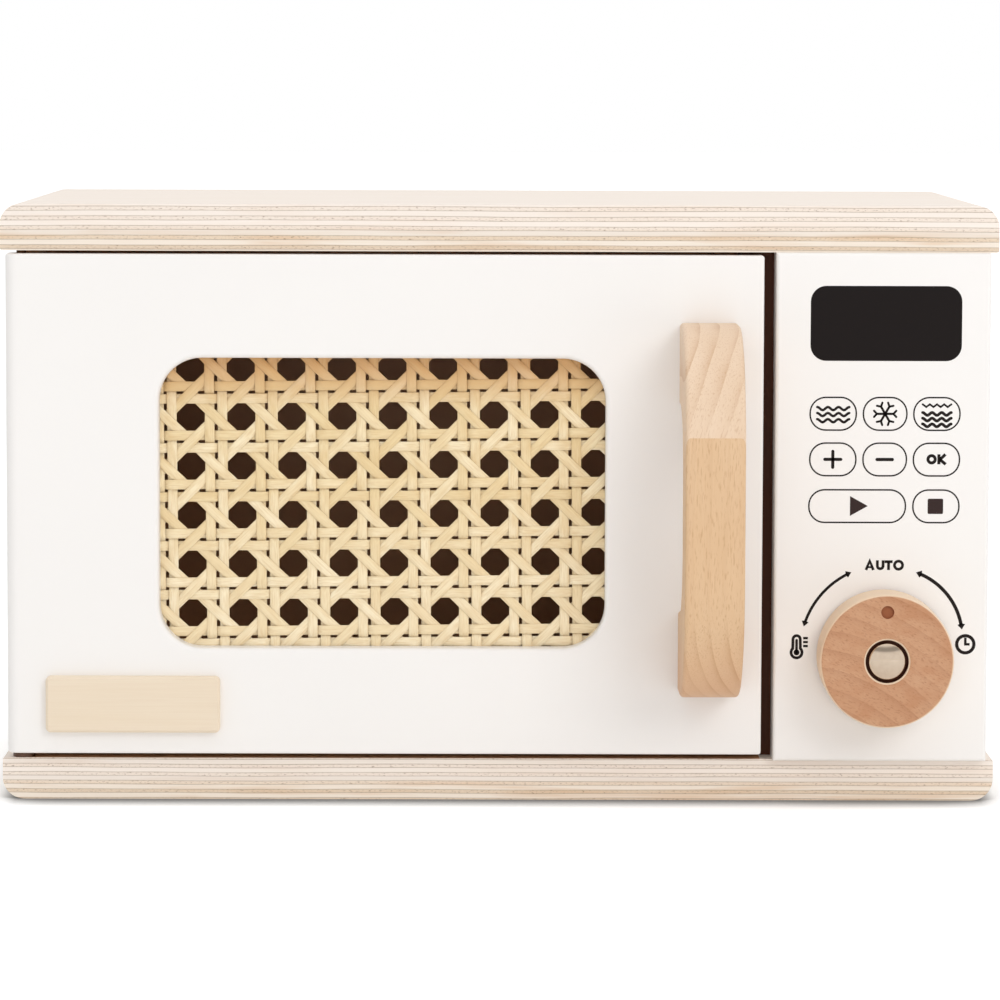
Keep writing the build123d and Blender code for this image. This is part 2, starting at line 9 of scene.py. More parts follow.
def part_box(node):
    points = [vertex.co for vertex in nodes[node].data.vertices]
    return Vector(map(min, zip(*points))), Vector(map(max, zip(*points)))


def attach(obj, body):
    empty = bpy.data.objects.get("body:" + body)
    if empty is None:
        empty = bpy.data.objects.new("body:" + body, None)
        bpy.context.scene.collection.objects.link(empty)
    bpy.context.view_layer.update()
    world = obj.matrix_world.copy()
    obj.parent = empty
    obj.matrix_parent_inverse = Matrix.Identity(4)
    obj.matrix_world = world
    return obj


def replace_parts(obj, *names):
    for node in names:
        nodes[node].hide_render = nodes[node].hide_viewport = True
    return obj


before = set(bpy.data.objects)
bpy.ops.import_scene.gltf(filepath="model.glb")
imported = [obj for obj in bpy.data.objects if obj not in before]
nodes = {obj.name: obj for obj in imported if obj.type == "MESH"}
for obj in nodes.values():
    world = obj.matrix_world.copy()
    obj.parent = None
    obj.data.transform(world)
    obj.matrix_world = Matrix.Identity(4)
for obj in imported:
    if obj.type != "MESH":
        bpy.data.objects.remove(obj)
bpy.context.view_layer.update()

# ================================================================ camera, light and floor
# A product shot: a long lens a metre and a half away, a little above the toy and looking slightly
# down. Soft light from all round, a wide fill beside the camera and a softbox at the upper right
# that rounds the handle and the dial. The floor is white, with a painted shadow under the toy.
MM = 0.001
CAMERA_PLACE = (-0.00761, -1.49489, 0.2235)
CAMERA_TURN = (84.749, -0.174, -0.301)  # degrees
LENS, SENSOR = 172.68, 36  # mm
scene = bpy.context.scene
scene.view_settings.view_transform = "Standard"

camera_data = bpy.data.cameras.new("camera")
camera_data.lens = LENS
camera_data.sensor_width = SENSOR
camera_data.clip_start = 0.05
camera_data.clip_end = 50
camera = bpy.data.objects.new("camera", camera_data)
camera.location = CAMERA_PLACE
camera.rotation_euler = [radians(angle) for angle in CAMERA_TURN]
scene.collection.objects.link(camera)
scene.camera = camera


def srgb(code):
    """Colour from an sRGB hex code, in Blender's linear values."""
    levels = [int(code[i:i + 2], 16) / 255 for i in (1, 3, 5)]
    return tuple(v / 12.92 if v <= 0.04045 else ((v + 0.055) / 1.055) ** 2.4 for v in levels) + (1.0,)


def give(tree, socket, value):
    """Gives a socket a value, another node's output, or the first output of a node."""
    if isinstance(value, bpy.types.Node):
        value = next(output for output in value.outputs if output.enabled)
    if isinstance(value, bpy.types.NodeSocket):
        tree.links.new(value, socket)
    else:
        socket.default_value = value


def add(tree, kind, sockets=None, **settings):
    """Adds one shader node with its settings, and gives its sockets what they are to have."""
    made = tree.nodes.new(kind)
    for name, value in settings.items():
        setattr(made, name, value)
    for name, value in (sockets or {}).items():
        give(tree, made.inputs[name], value)
    return made


SKY_LOW, SKY_HIGH = 0.2, 1.25  # light from the horizon and from overhead, against 1 for white
DARK_BAND = (0.6, 0.4)  # height of the unlit band between wall and overhead light, and its level
BAND_EDGE = (0.08, 0.17)  # from its middle, where the band begins to fade and where it ends
world = bpy.data.worlds.new("studio")
scene.world = world
world.use_nodes = True
tree = world.node_tree
tree.nodes.clear()
path = add(tree, "ShaderNodeLightPath")
direction = add(tree, "ShaderNodeTexCoord")
rise = add(tree, "ShaderNodeSeparateXYZ", {0: direction.outputs["Generated"]}).outputs["Z"]
dome = add(tree, "ShaderNodeMapRange", {"Value": rise, "To Min": SKY_LOW, "To Max": SKY_HIGH})
from_band = add(tree, "ShaderNodeMath", {0: rise, 1: DARK_BAND[0]}, operation="SUBTRACT")
from_band = add(tree, "ShaderNodeMath", {0: from_band}, operation="ABSOLUTE")
mirrored = add(tree, "ShaderNodeMapRange", {"Value": from_band, "From Min": BAND_EDGE[0],
                                            "From Max": BAND_EDGE[1], "To Min": DARK_BAND[1]})
level = add(tree, "ShaderNodeMix", {"Factor": path.outputs["Is Glossy Ray"], "A": dome, "B": mirrored})
seen = add(tree, "ShaderNodeMath", {0: path.outputs["Is Camera Ray"],
                                    1: path.outputs["Is Transmission Ray"]}, operation="MAXIMUM")
level = add(tree, "ShaderNodeMix", {"Factor": seen, "A": level, "B": 1.0})
sky = add(tree, "ShaderNodeBackground", {"Color": (1, 1, 1, 1), "Strength": level})
add(tree, "ShaderNodeOutputWorld", {"Surface": sky})

toy_middle = Vector((0, -0.05, 0.09))
for light_name, place, width, height, power in (("softbox", (0.95, -1.55, 1.0), 0.9, 0.8, 8.3),
                                                ("front_fill", (-0.1, -2.1, 0.2), 1.4, 0.9, 6.1)):
    light = bpy.data.lights.new(light_name, "AREA")
    light.shape = "RECTANGLE"
    light.size = width
    light.size_y = height
    light.energy = power
    lamp = bpy.data.objects.new(light_name, light)
    lamp.location = place
    lamp.rotation_euler = (toy_middle - lamp.location).to_track_quat("-Z", "Y").to_euler()
    lamp.visible_glossy = False
    scene.collection.objects.link(lamp)

# White board under the toy, lit to pure white. The shadow at the toy's foot is painted into its
# colour, for camera rays only, from how closely the toy hems each point in.
CONTACT_REACH, DEEPEST_SHADOW = 20 * MM, 0.22  # how far the shadow spreads, and its tone at the foot
# the painted shadow is made fainter beyond the boards' ends
BEYOND_ENDS = 0.75  # how much of it fades beyond the boards' round ends, where light gets under them
floor_material = bpy.data.materials.new("white_floor_painted_shadow")
floor_material.use_nodes = True
tree = floor_material.node_tree
tree.nodes.clear()
foot = add(tree, "ShaderNodeAmbientOcclusion", {"Distance": CONTACT_REACH}, samples=16)
depth = add(tree, "ShaderNodeMapRange", {"Value": foot.outputs["AO"], "From Min": 0.5, "From Max": 0.96,
                                         "To Min": DEEPEST_SHADOW})
place = add(tree, "ShaderNodeNewGeometry").outputs["Position"]
from_middle = add(tree, "ShaderNodeSeparateXYZ", {0: place}).outputs["X"]
from_middle = add(tree, "ShaderNodeMath", {0: from_middle}, operation="ABSOLUTE")
board_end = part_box("top_board")[1].x
beyond = add(tree, "ShaderNodeMapRange", {"Value": from_middle, "From Min": board_end - 4 * MM,
                                          "From Max": board_end + 2 * MM, "To Max": BEYOND_ENDS})
path = add(tree, "ShaderNodeLightPath")
depth = add(tree, "ShaderNodeMix", {"Factor": beyond, "A": depth, "B": 1.0})
depth = add(tree, "ShaderNodeMix", {"Factor": path.outputs["Is Camera Ray"], "A": 1.0, "B": depth})
tint = add(tree, "ShaderNodeVectorMath", {0: srgb("#FAFAFA")[:3], "Scale": depth}, operation="SCALE")
white = add(tree, "ShaderNodeBsdfDiffuse", {"Color": tint})
glow = add(tree, "ShaderNodeMath", {0: path.outputs["Is Camera Ray"], 1: 0.3}, operation="MULTIPLY")
lift = add(tree, "ShaderNodeEmission", {"Color": tint, "Strength": glow})
both = add(tree, "ShaderNodeAddShader", {0: white, 1: lift})
add(tree, "ShaderNodeOutputMaterial", {"Surface": both})
bpy.ops.mesh.primitive_plane_add(size=16, location=(0, 2, 0))
floor = bpy.context.object
floor.name = "floor"
floor.data.materials.append(floor_material)

# ================================================================ the two boards
# Birch plywood of eleven plies, sawn and sanded, with its edges left bare under matt varnish. They
# show pale smooth plies between darker open ones, with a thin brown glue line at each joint. Behind
# the door the boards are stained brown like the oven's inside. Forward of the walls, to just inside
# the front edge, that brown is painted shade for the gaps under and over the door.
stain_left, stain_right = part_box("left_wall")[0].x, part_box("door_panel")[1].x
# the stained area begins 0.4 mm behind the boards' front edge: the strip under and over the door is painted
# shade
stain_and_gap_shade_front, stain_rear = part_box("top_board")[0].y + 0.4 * MM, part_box("back_panel")[0].y
UNEVEN_PLIES = 0.09  # share of a ply that the long-grained plies gain on the others, twice over
PLY_WANDER = 0.16  # mm by which the joints lie higher or lower here and there
GLUE_LINE = 0.22  # mm, drawn a little wider than the real one so that it shows
FIBRES_ALONG, FIBRES_ACROSS = (25, 0.8, 0.4), (0.8, 25, 0.4)  # mm in X, Y and Z


def new_material(name, roughness, shine=0.5):
    """Starts a material; gives it, its node tree, and its shader."""
    material = bpy.data.materials.new(name)
    material.use_nodes = True
    shader = material.node_tree.nodes["Principled BSDF"]
    shader.inputs["Roughness"].default_value = roughness
    shader.inputs["Specular IOR Level"].default_value = shine
    return material, material.node_tree, shader


def place_in_mm(tree):
    """The point in the piece's own frame, in millimetres, as a vector and as its X, Y and Z."""
    place = add(tree, "ShaderNodeTexCoord").outputs["Object"]
    scaled = add(tree, "ShaderNodeVectorMath", {0: place, "Scale": 1 / MM}, operation="SCALE")
    return scaled, add(tree, "ShaderNodeSeparateXYZ", {0: scaled}).outputs


def way_it_faces(tree):
    """The way the surface faces in the piece's own frame, as its X, Y and Z."""
    return add(tree, "ShaderNodeSeparateXYZ", {0: add(tree, "ShaderNodeTexCoord").outputs["Normal"]}).outputs


def patches(tree, place, sizes, detail, **more):
    """Uneven patches that have these sizes in mm along X, Y and Z."""
    scaled = add(tree, "ShaderNodeVectorMath", {0: place, 1: [1 / size for size in sizes]},
                 operation="MULTIPLY")
    return add(tree, "ShaderNodeTexNoise", {"Vector": scaled, "Scale": 1.0, "Detail": detail, **more})


def finish(tree, shader, colour, relief, strength, height):
    """Gives the shader its colour, and a relief that stands up by this height in mm."""
    bump = add(tree, "ShaderNodeBump", {"Height": relief, "Strength": strength, "Distance": height * MM})
    give(tree, shader.inputs["Base Color"], colour)
    give(tree, shader.inputs["Normal"], bump)


def plywood(name, low_z, high_z, cross_z, pitch, painted_side=0):
    """Birch plywood between two heights. The middle of a cross ply lies at cross_z, and each ply is
    pitch thick. painted_side is 1 or -1 where the upper or lower face is stained inside the oven."""
    material, tree, shader = new_material(name, 0.55)
    place, at = place_in_mm(tree)

    # the plies are not quite flat, and their joints wander a little
    drift = add(tree, "ShaderNodeMapRange", {"Value": patches(tree, place, (55, 30, 9), 2.0),
                                             "From Min": 0.3, "From Max": 0.7,
                                             "To Min": -PLY_WANDER, "To Max": PLY_WANDER})
    height = add(tree, "ShaderNodeMath", {0: at["Z"], 1: drift}, operation="ADD")
    first = cross_z - 1.5 * pitch
    layer = add(tree, "ShaderNodeMapRange", {"Value": height, "From Min": first, "From Max": first + pitch},
                clamp=False)
    swell = add(tree, "ShaderNodeMath", {0: layer, 1: pi}, operation="MULTIPLY")
    swell = add(tree, "ShaderNodeMath", {0: swell}, operation="COSINE")
    layer = add(tree, "ShaderNodeMath", {0: swell, 1: UNEVEN_PLIES, 2: layer}, operation="MULTIPLY_ADD")
    index = add(tree, "ShaderNodeMath", {0: layer}, operation="FLOOR")
    crossing = add(tree, "ShaderNodeMath", {0: index, 1: 2.0}, operation="FLOORED_MODULO")
    nearest = add(tree, "ShaderNodeMath", {0: layer, 1: 0.5}, operation="PINGPONG")
    edge = 0.5 * GLUE_LINE / pitch
    glue = add(tree, "ShaderNodeMapRange", {"Value": nearest, "From Min": edge * 0.6,
                                            "From Max": edge * 1.3, "To Min": 1.0, "To Max": 0.0})

    # the fibres run along the board in one ply and across it in the next
    along, across = [add(tree, "ShaderNodeVectorMath", {0: place, 1: [1 / size for size in sizes]},
                         operation="MULTIPLY") for sizes in (FIBRES_ALONG, FIBRES_ACROSS)]
    turned = add(tree, "ShaderNodeMix", {"Factor": crossing, "A": along, "B": across}, data_type="VECTOR")
    fibres = add(tree, "ShaderNodeTexNoise", {"Vector": turned, "Scale": 1.0, "Detail": 5.0,
                                              "Roughness": 0.65})
    smooth_ply, open_ply = [
        add(tree, "ShaderNodeMix", {"Factor": fibres, "A": srgb(light), "B": srgb(deep)}, data_type="RGBA")
        for light, deep in (("#F8EEE2", "#F0E2D1"), ("#F1E1CD", "#DEC6AA"))]
    edge_tone = add(tree, "ShaderNodeMix", {"Factor": crossing, "A": smooth_ply, "B": open_ply},
                    data_type="RGBA")

    # there are warm stretches, and the upper plies are paler; each ply is a sheet with its own tone
    warm = add(tree, "ShaderNodeMapRange", {"Value": patches(tree, place, (45, 45, 2.5), 3.0),
                                            "From Min": 0.48, "From Max": 0.75, "To Max": 0.7})
    upper = add(tree, "ShaderNodeMapRange", {"Value": height, "From Min": 0.68 * low_z + 0.32 * high_z,
                                             "From Max": 0.47 * low_z + 0.53 * high_z, "To Max": 0.66})
    for mask, tone in ((warm, "#DDB993"), (upper, "#FAF0E8")):
        edge_tone = add(tree, "ShaderNodeMix", {"Factor": mask, "A": edge_tone, "B": srgb(tone)},
                        data_type="RGBA")
    sheet = add(tree, "ShaderNodeTexWhiteNoise", {"W": index}, noise_dimensions="1D")
    sheet_tone = add(tree, "ShaderNodeMapRange", {"Value": sheet, "To Min": 0.94})
    edge_tone = add(tree, "ShaderNodeVectorMath", {0: edge_tone, "Scale": sheet_tone}, operation="SCALE")

    # the glue shows in places only, and the cross plies have open pores and tiny knife checks
    glue_depth = add(tree, "ShaderNodeMapRange", {"Value": fibres, "From Min": 0.3, "From Max": 0.7,
                                                  "To Min": 0.35, "To Max": 0.95})
    glue = add(tree, "ShaderNodeMath", {0: glue, 1: glue_depth}, operation="MULTIPLY")
    pores = patches(tree, place, (1.1, 1.1, 0.35), 4.0, Roughness=0.7)
    pores = add(tree, "ShaderNodeMapRange", {"Value": pores, "From Min": 0.56, "From Max": 0.64,
                                             "To Max": 0.75})
    pores = add(tree, "ShaderNodeMath", {0: pores, 1: crossing}, operation="MULTIPLY")
    for mask, tone in ((glue, "#A08973"), (pores, "#86664B")):
        edge_tone = add(tree, "ShaderNodeMix", {"Factor": mask, "A": edge_tone, "B": srgb(tone)},
                        data_type="RGBA")

    # the broad faces show one veneer, smooth and nearly white
    veneer = add(tree, "ShaderNodeMix", {"Factor": patches(tree, place, (70, 11, 40), 3.0, Distortion=0.6),
                                         "A": srgb("#FFF7F0"), "B": srgb("#FBEFE3")}, data_type="RGBA")
    veneer = add(tree, "ShaderNodeMix", {"Factor": patches(tree, place, FIBRES_ALONG, 4.0),
                                         "A": veneer, "B": srgb("#F7E9DB")}, data_type="RGBA")
    facing = way_it_faces(tree)
    upright = add(tree, "ShaderNodeMath", {0: facing["Z"]}, operation="ABSOLUTE")
    broad = add(tree, "ShaderNodeMapRange", {"Value": upright, "From Min": 0.985, "From Max": 0.997})
    colour = add(tree, "ShaderNodeMix", {"Factor": broad, "A": edge_tone, "B": veneer}, data_type="RGBA")
    # inside the oven the face is stained brown; on the strip under the door that brown is painted shade
    if painted_side:
        inner = add(tree, "ShaderNodeMath", {0: facing["Z"], 1: painted_side}, operation="MULTIPLY")
        inner = add(tree, "ShaderNodeMath", {0: inner, 1: 0.99}, operation="GREATER_THAN")
        for axis, low, high in (("X", stain_left, stain_right), ("Y", stain_and_gap_shade_front, stain_rear)):
            for limit, side in ((low, "GREATER_THAN"), (high, "LESS_THAN")):
                within = add(tree, "ShaderNodeMath", {0: at[axis], 1: limit / MM}, operation=side)
                inner = add(tree, "ShaderNodeMath", {0: inner, 1: within}, operation="MULTIPLY")
        colour = add(tree, "ShaderNodeMix", {"Factor": inner, "A": colour, "B": srgb(OVEN_BROWN_AND_GAP_SHADE)},
                     data_type="RGBA")
    finish(tree, shader, colour, fibres, 0.25, 0.05)
    return material


def dress(name, material):
    """Gives a CAD node its finish."""
    data = nodes[name].data
    data.materials.clear()
    data.materials.append(material)


# brown of the oven's inside; where it is seen only through the gaps round the door it is painted shade
OVEN_BROWN_AND_GAP_SHADE = "#C8966C"
for board_name, painted_side, cross_ply, pitch in (("bottom_board", 1, 2.42, 1.29),
                                                   ("top_board", -1, 1.12, 1.45)):
    low, high = [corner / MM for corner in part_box(board_name)]
    dress(board_name, plywood(f"birch_plywood_{board_name}", low.z, high.z, low.z + cross_ply, pitch,
                              painted_side))

# ================================================================ walls, back, panel and door
# MDF, cut and sprayed with two coats of satin white, with the arrises rounded by the paint. The
# spray leaves a faint orange peel. The oven is brown inside, and the divider all over. The divider's
# front edge is nearly black, painted shade for the deep gap between door and panel, and the left
# wall's front edge takes the inner brown as painted shade for the gap beside the door.
PEEL, CLOUD = (1.6, 1.6, 1.6), (60, 60, 60)  # mm: ripples and faint clouds of the sprayed coat


def painted_board(name, coat, inside=(), inner_tone=OVEN_BROWN_AND_GAP_SHADE, shine=0.5):
    """Sprayed MDF. inside lists axes and signs: the faces turned those ways have the inner tone."""
    material, tree, shader = new_material(name, 0.42, shine)
    place = place_in_mm(tree)[0]
    colour = add(tree, "ShaderNodeMix", {"Factor": patches(tree, place, CLOUD, 2.0), "A": srgb(coat[0]),
                                         "B": srgb(coat[1])}, data_type="RGBA")
    facing = way_it_faces(tree)
    for axis, sign in inside:
        turned = add(tree, "ShaderNodeMath", {0: facing[axis], 1: sign}, operation="MULTIPLY")
        turned = add(tree, "ShaderNodeMath", {0: turned, 1: 0.6}, operation="GREATER_THAN")
        colour = add(tree, "ShaderNodeMix", {"Factor": turned, "A": colour, "B": srgb(inner_tone)},
                     data_type="RGBA")
    finish(tree, shader, colour, patches(tree, place, PEEL, 2.0), 0.12, 0.05)
    return material


WHITE_COAT = ("#F6F3F0", "#F3F0ED")
BROWN_COAT = ("#CA9970", "#C38F66")
white = painted_board("satin_white_paint", WHITE_COAT)
for name in ("door_panel", "control_panel", "cane_retainer"):
    dress(name, white)
# its front edge, seen only through the gap beside the door, is brown: painted shade
dress("left_wall", painted_board("left_wall_paint", WHITE_COAT, (("X", 1), ("Y", -1))))
dress("right_wall", painted_board("right_wall_paint", WHITE_COAT, (("X", -1),)))
dress("back_panel", painted_board("back_paint", WHITE_COAT, (("Y", -1),)))
# the divider's front edge is near black: painted shade of the gap between door and panel
dress("divider_wall", painted_board("divider_paint_with_gap_shade", BROWN_COAT, (("Y", -1),), "#522C19", 0.15))

# ================================================================ cane webbing
# Hand caning in split rattan, 3 mm wide and 0.4 mm thick, with a rounded glossy skin in front. Pairs
# of uprights and rails are woven over and under each other. Halfway between, slanting strands cross
# each pair: the falling ones lie over the uprights and under the rails, the rising ones the reverse.
HOLE_PITCH_X, HOLE_PITCH_Z = 15.235, 14.845  # mm, as are the sizes that follow
HOLE_X, HOLE_Z = -31.75, 101.46  # centre of one hole, before the webbing is turned
WEBBING_TURN = radians(0.55)  # of the whole sheet in its frame
STRAND_WIDTH, STRAND_THICKNESS = 2.9, 0.4
UPRIGHT_SPACING, RAIL_SPACING = 3.85, 3.75  # between the middles of a pair's strands
SWING = 0.6  # how far a strand's middle lies back or forward
SLOW_BEND, QUICK_BEND = 5.5, 1.1  # half the length of a change of sides at a slant, and in a pair
SLANT_REST = 1.75  # half the length over which a slanting strand lies level
WEAVE_STEP = 0.9  # between the sections of a strand
STRAND_OUTLINE = ((-1, 0.5), (-0.74, -0.55), (-0.35, -0.97), (0.35, -0.97), (0.74, -0.55), (1, 0.5),
                  (0.9, 0.97), (-0.9, 0.97))  # across and back, in halves of width and thickness
SHADE_STEP = 0.618034  # from one strand's shade to the next; this share never repeats a shade
cane_low, cane_high = [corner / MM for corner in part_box("cane_falling_diagonals")]
cane_middle = (cane_low + cane_high) / 2


def straight_depth(along, pitch):
    """How far an upright or rail lies forward, at a distance past a hole's middle."""
    phase = along % pitch
    half = pitch / 2
    side = 1 if phase < half else -1
    phase = min(phase, pitch - phase)
    return side * SWING * min(1.0, phase / SLOW_BEND, (half - phase) / QUICK_BEND)


def slanting_depth(along, pitch):
    """How far a falling strand lies forward, at a distance from where it crosses a pair of uprights."""
    phase = abs((along + pitch / 2) % pitch - pitch / 2)
    return SWING * max(-1.0, min(1.0, 1 - 2 * (phase - SLANT_REST) / (pitch / 2 - 2 * SLANT_REST)))


def strand_points(x, z, angle, sense, depth, pitch):
    """Points along a strand through x, z, over the whole webbing, once that is turned in the door."""
    turned = Vector((x - cane_middle.x, z - cane_middle.z))
    turned.rotate(Matrix.Rotation(WEBBING_TURN, 2))
    start = Vector((cane_middle.x + turned.x, cane_middle.z + turned.y))
    out = Vector((cos(angle + WEBBING_TURN), sin(angle + WEBBING_TURN)))
    spans = []
    for low, high, at, way in ((cane_low.x, cane_high.x, start.x, out.x),
                               (cane_low.z, cane_high.z, start.y, out.y)):
        if abs(way) > 0.02:
            spans.append(sorted(((low - at) / way, (high - at) / way)))
    first, last = max(span[0] for span in spans), min(span[1] for span in spans)
    if last - first < 2 * STRAND_WIDTH:
        return []
    count = ceil((last - first) / WEAVE_STEP)
    stops = [first + (last - first) * step / count for step in range(count + 1)]
    return [Vector((start.x + out.x * stop, cane_middle.y - sense * depth(stop, pitch),
                    start.y + out.y * stop)) for stop in stops]


def add_strand(mesh, points, shade_layer, shade):
    """Adds a flat strand to a bmesh: rounded skin in front, flat behind, closed at both ends."""
    along = (points[-1] - points[0]).normalized()
    sideways = Vector((0, 1, 0)).cross(along).normalized() * STRAND_WIDTH / 2
    backward = Vector((0, STRAND_THICKNESS / 2, 0))
    rings = [[mesh.verts.new((point + sideways * across + backward * back) * MM)
              for across, back in STRAND_OUTLINE] for point in points]
    faces = [mesh.faces.new(rings[0]), mesh.faces.new(reversed(rings[-1]))]
    for near, far in zip(rings, rings[1:]):
        for i in range(len(near)):
            j = (i + 1) % len(near)
            faces.append(mesh.faces.new((near[i], far[i], far[j], near[j])))
    for face in faces:
        face.smooth = True
        for loop in face.loops:
            loop[shade_layer] = (shade, shade, shade, 1)


def make_piece(mesh, name, material, body, sharp_angle=None):
    """Turns a bmesh into a piece that rides on a body; edges over the angle, in degrees, stay sharp."""
    bmesh.ops.recalc_face_normals(mesh, faces=mesh.faces)
    data = bpy.data.meshes.new(name)
    mesh.to_mesh(data)
    mesh.free()
    if sharp_angle:
        data.set_sharp_from_angle(angle=radians(sharp_angle))
    piece = bpy.data.objects.new(name, data)
    scene.collection.objects.link(piece)
    piece.data.materials.append(material)
    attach(piece, body)
    return piece


def weave(name, strands, material, node_name):
    """One family of strands as one piece on the door; each strand has its own shade."""
    mesh = bmesh.new()
    shade_layer = mesh.loops.layers.float_color.new("strand_shade")
    for order, points in enumerate(strands):
        if points:
            add_strand(mesh, points, shade_layer, (order * SHADE_STEP + len(strands) * 0.37) % 1.0)
    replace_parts(make_piece(mesh, name, material, "door", 40), node_name)


def rattan(name, grain):
    """Split rattan: pale straw skin with fine lengthwise fibres; grain is the strand's direction."""
    material, tree, shader = new_material(name, 0.38)
    place, at = place_in_mm(tree)
    turn = add(tree, "ShaderNodeVectorRotate", {"Vector": place, "Angle": grain}, rotation_type="Y_AXIS")
    fibres = patches(tree, turn, (9, 0.6, 0.25), 4.0)
    shade = add(tree, "ShaderNodeVertexColor", layer_name="strand_shade")
    own = add(tree, "ShaderNodeSeparateColor", {0: shade})
    # the skin is darker in patches; the sheet is darker and tan towards its top, painted shade under
    # the window's upper edge, and palest at the bottom
    darker = add(tree, "ShaderNodeMapRange", {"Value": patches(tree, turn, (6, 3, 2.2), 3.0),
                                              "From Min": 0.35, "From Max": 0.72, "To Max": 0.7})
    top_shade_painted = add(tree, "ShaderNodeMapRange", {"Value": at["Z"], "From Min": 118.5, "From Max": 132,
                                              "To Max": 0.78})
    palest = add(tree, "ShaderNodeMapRange", {"Value": at["Z"], "From Min": 100, "From Max": 48,
                                              "To Max": 0.35})
    lines = add(tree, "ShaderNodeMapRange", {"Value": fibres, "From Min": 0.42, "From Max": 0.68,
                                             "To Max": 0.45})
    tone = srgb("#FBEBC8")
    for mask, own_tone in ((own, "#EDD5A4"), (darker, "#E4C792"), (top_shade_painted, "#C98C48"), (palest, "#FFF4DA"),
                           (lines, "#D9B883")):
        tone = add(tree, "ShaderNodeMix", {"Factor": mask, "A": tone, "B": srgb(own_tone)}, data_type="RGBA")
    finish(tree, shader, tone, fibres, 0.35, 0.04)
    return material


upright_pairs = [HOLE_X + (step + 0.5) * HOLE_PITCH_X for step in range(-5, 5)]
rail_pairs = [HOLE_Z + (step + 0.5) * HOLE_PITCH_Z for step in range(-4, 3)]
slant_feet = [HOLE_X + (step + 0.5) * HOLE_PITCH_X for step in range(-10, 10)]
slant = atan2(HOLE_PITCH_Z, HOLE_PITCH_X)
slant_pitch = hypot(HOLE_PITCH_X, HOLE_PITCH_Z)
uprights = [strand_points(x + side * UPRIGHT_SPACING / 2, HOLE_Z, pi / 2, side, straight_depth, HOLE_PITCH_Z)
            for x in upright_pairs for side in (-1, 1)]
rails = [strand_points(HOLE_X, z + side * RAIL_SPACING / 2, 0, -side, straight_depth, HOLE_PITCH_X)
         for z in rail_pairs for side in (-1, 1)]
rising = [strand_points(x, HOLE_Z, slant, -1, slanting_depth, slant_pitch) for x in slant_feet]
falling = [strand_points(x, HOLE_Z, -slant, 1, slanting_depth, slant_pitch) for x in slant_feet]
weave("woven_uprights", uprights, rattan("rattan_upright", pi / 2), "cane_uprights")
weave("woven_rails", rails, rattan("rattan_rail", 0.0), "cane_rails")
weave("woven_rising_strands", rising, rattan("rattan_rising", slant), "cane_rising_diagonals")
weave("woven_falling_strands", falling, rattan("rattan_falling", -slant), "cane_falling_diagonals")

# ================================================================ handle, dial and dowels
# Steamed beech under matt varnish, with short dark flecks along its grain. The handle is glued up
# from two staves that meet in fingers near its upper end, and the short one is paler. The dial is
# turned from redder wood, with the year rings in wide arcs across its face. Its paler rim is partly
# side grain and partly a painted highlight on the rounded edge; the well round its bolt has painted shade.


def across_rings(tree, place, normal, start=(0, 0, 0)):
    """Millimetres across flat year rings, whose layers face along normal; one ring ends at start."""
    from_start = add(tree, "ShaderNodeVectorMath", {0: place, 1: start}, operation="SUBTRACT")
    return add(tree, "ShaderNodeVectorMath", {0: from_start, 1: Vector(normal).normalized()},
               operation="DOT_PRODUCT")


def beech_figure(tree, place, tones, along, rings_mm, ring, strength, wave=0.8):
    """Colour of beech and its fibres. tones are light, middle and dark; along is the direction of
    the fibres, rings_mm the place across the year rings, ring the distance between them, and wave
    the share of it by which they wander."""
    light, middle, dark = tones
    along = Vector(along).normalized()
    side = along.cross(Vector((0.3, 0.8, 0.5))).normalized()
    parts = [add(tree, "ShaderNodeVectorMath", {0: place, 1: axis}, operation="DOT_PRODUCT")
             for axis in (along, side, along.cross(side))]
    grain = add(tree, "ShaderNodeCombineXYZ", {0: parts[0], 1: parts[1], 2: parts[2]})

    # each ring darkens slowly and ends in a fine line, which wanders and fades here and there
    bent = add(tree, "ShaderNodeMath", {0: patches(tree, grain, (60, 14, 22), 1.0), 1: ring * wave,
                                        2: rings_mm}, operation="MULTIPLY_ADD")
    season = add(tree, "ShaderNodeMath", {0: bent, 1: ring}, operation="DIVIDE")
    season = add(tree, "ShaderNodeMath", {0: season}, operation="FRACT")
    late = add(tree, "ShaderNodeMath", {0: season, 1: 3.0}, operation="POWER")
    fade = add(tree, "ShaderNodeMapRange", {"Value": patches(tree, grain, (28, 10, 16), 3.0),
                                            "From Min": 0.36, "From Max": 0.62, "To Min": 0.4})
    depth = add(tree, "ShaderNodeMath", {0: late, 1: fade}, operation="MULTIPLY")
    depth = add(tree, "ShaderNodeMath", {0: depth, 1: strength}, operation="MULTIPLY")

    fibres = patches(tree, grain, (18, 0.5, 0.5), 5.0)
    streak = add(tree, "ShaderNodeMapRange", {"Value": fibres, "From Min": 0.35, "From Max": 0.75,
                                              "To Max": 0.6})
    flecks = add(tree, "ShaderNodeMapRange", {"Value": patches(tree, grain, (3.0, 0.38, 0.38), 2.0),
                                              "From Min": 0.55, "From Max": 0.69, "To Max": 0.4})
    cloud = patches(tree, grain, (30, 12, 12), 3.0)
    colour = srgb(light)
    for mask, tone in ((cloud, middle), (streak, middle), (depth, dark), (flecks, dark)):
        colour = add(tree, "ShaderNodeMix", {"Factor": mask, "A": colour, "B": srgb(tone)}, data_type="RGBA")
    return colour, fibres


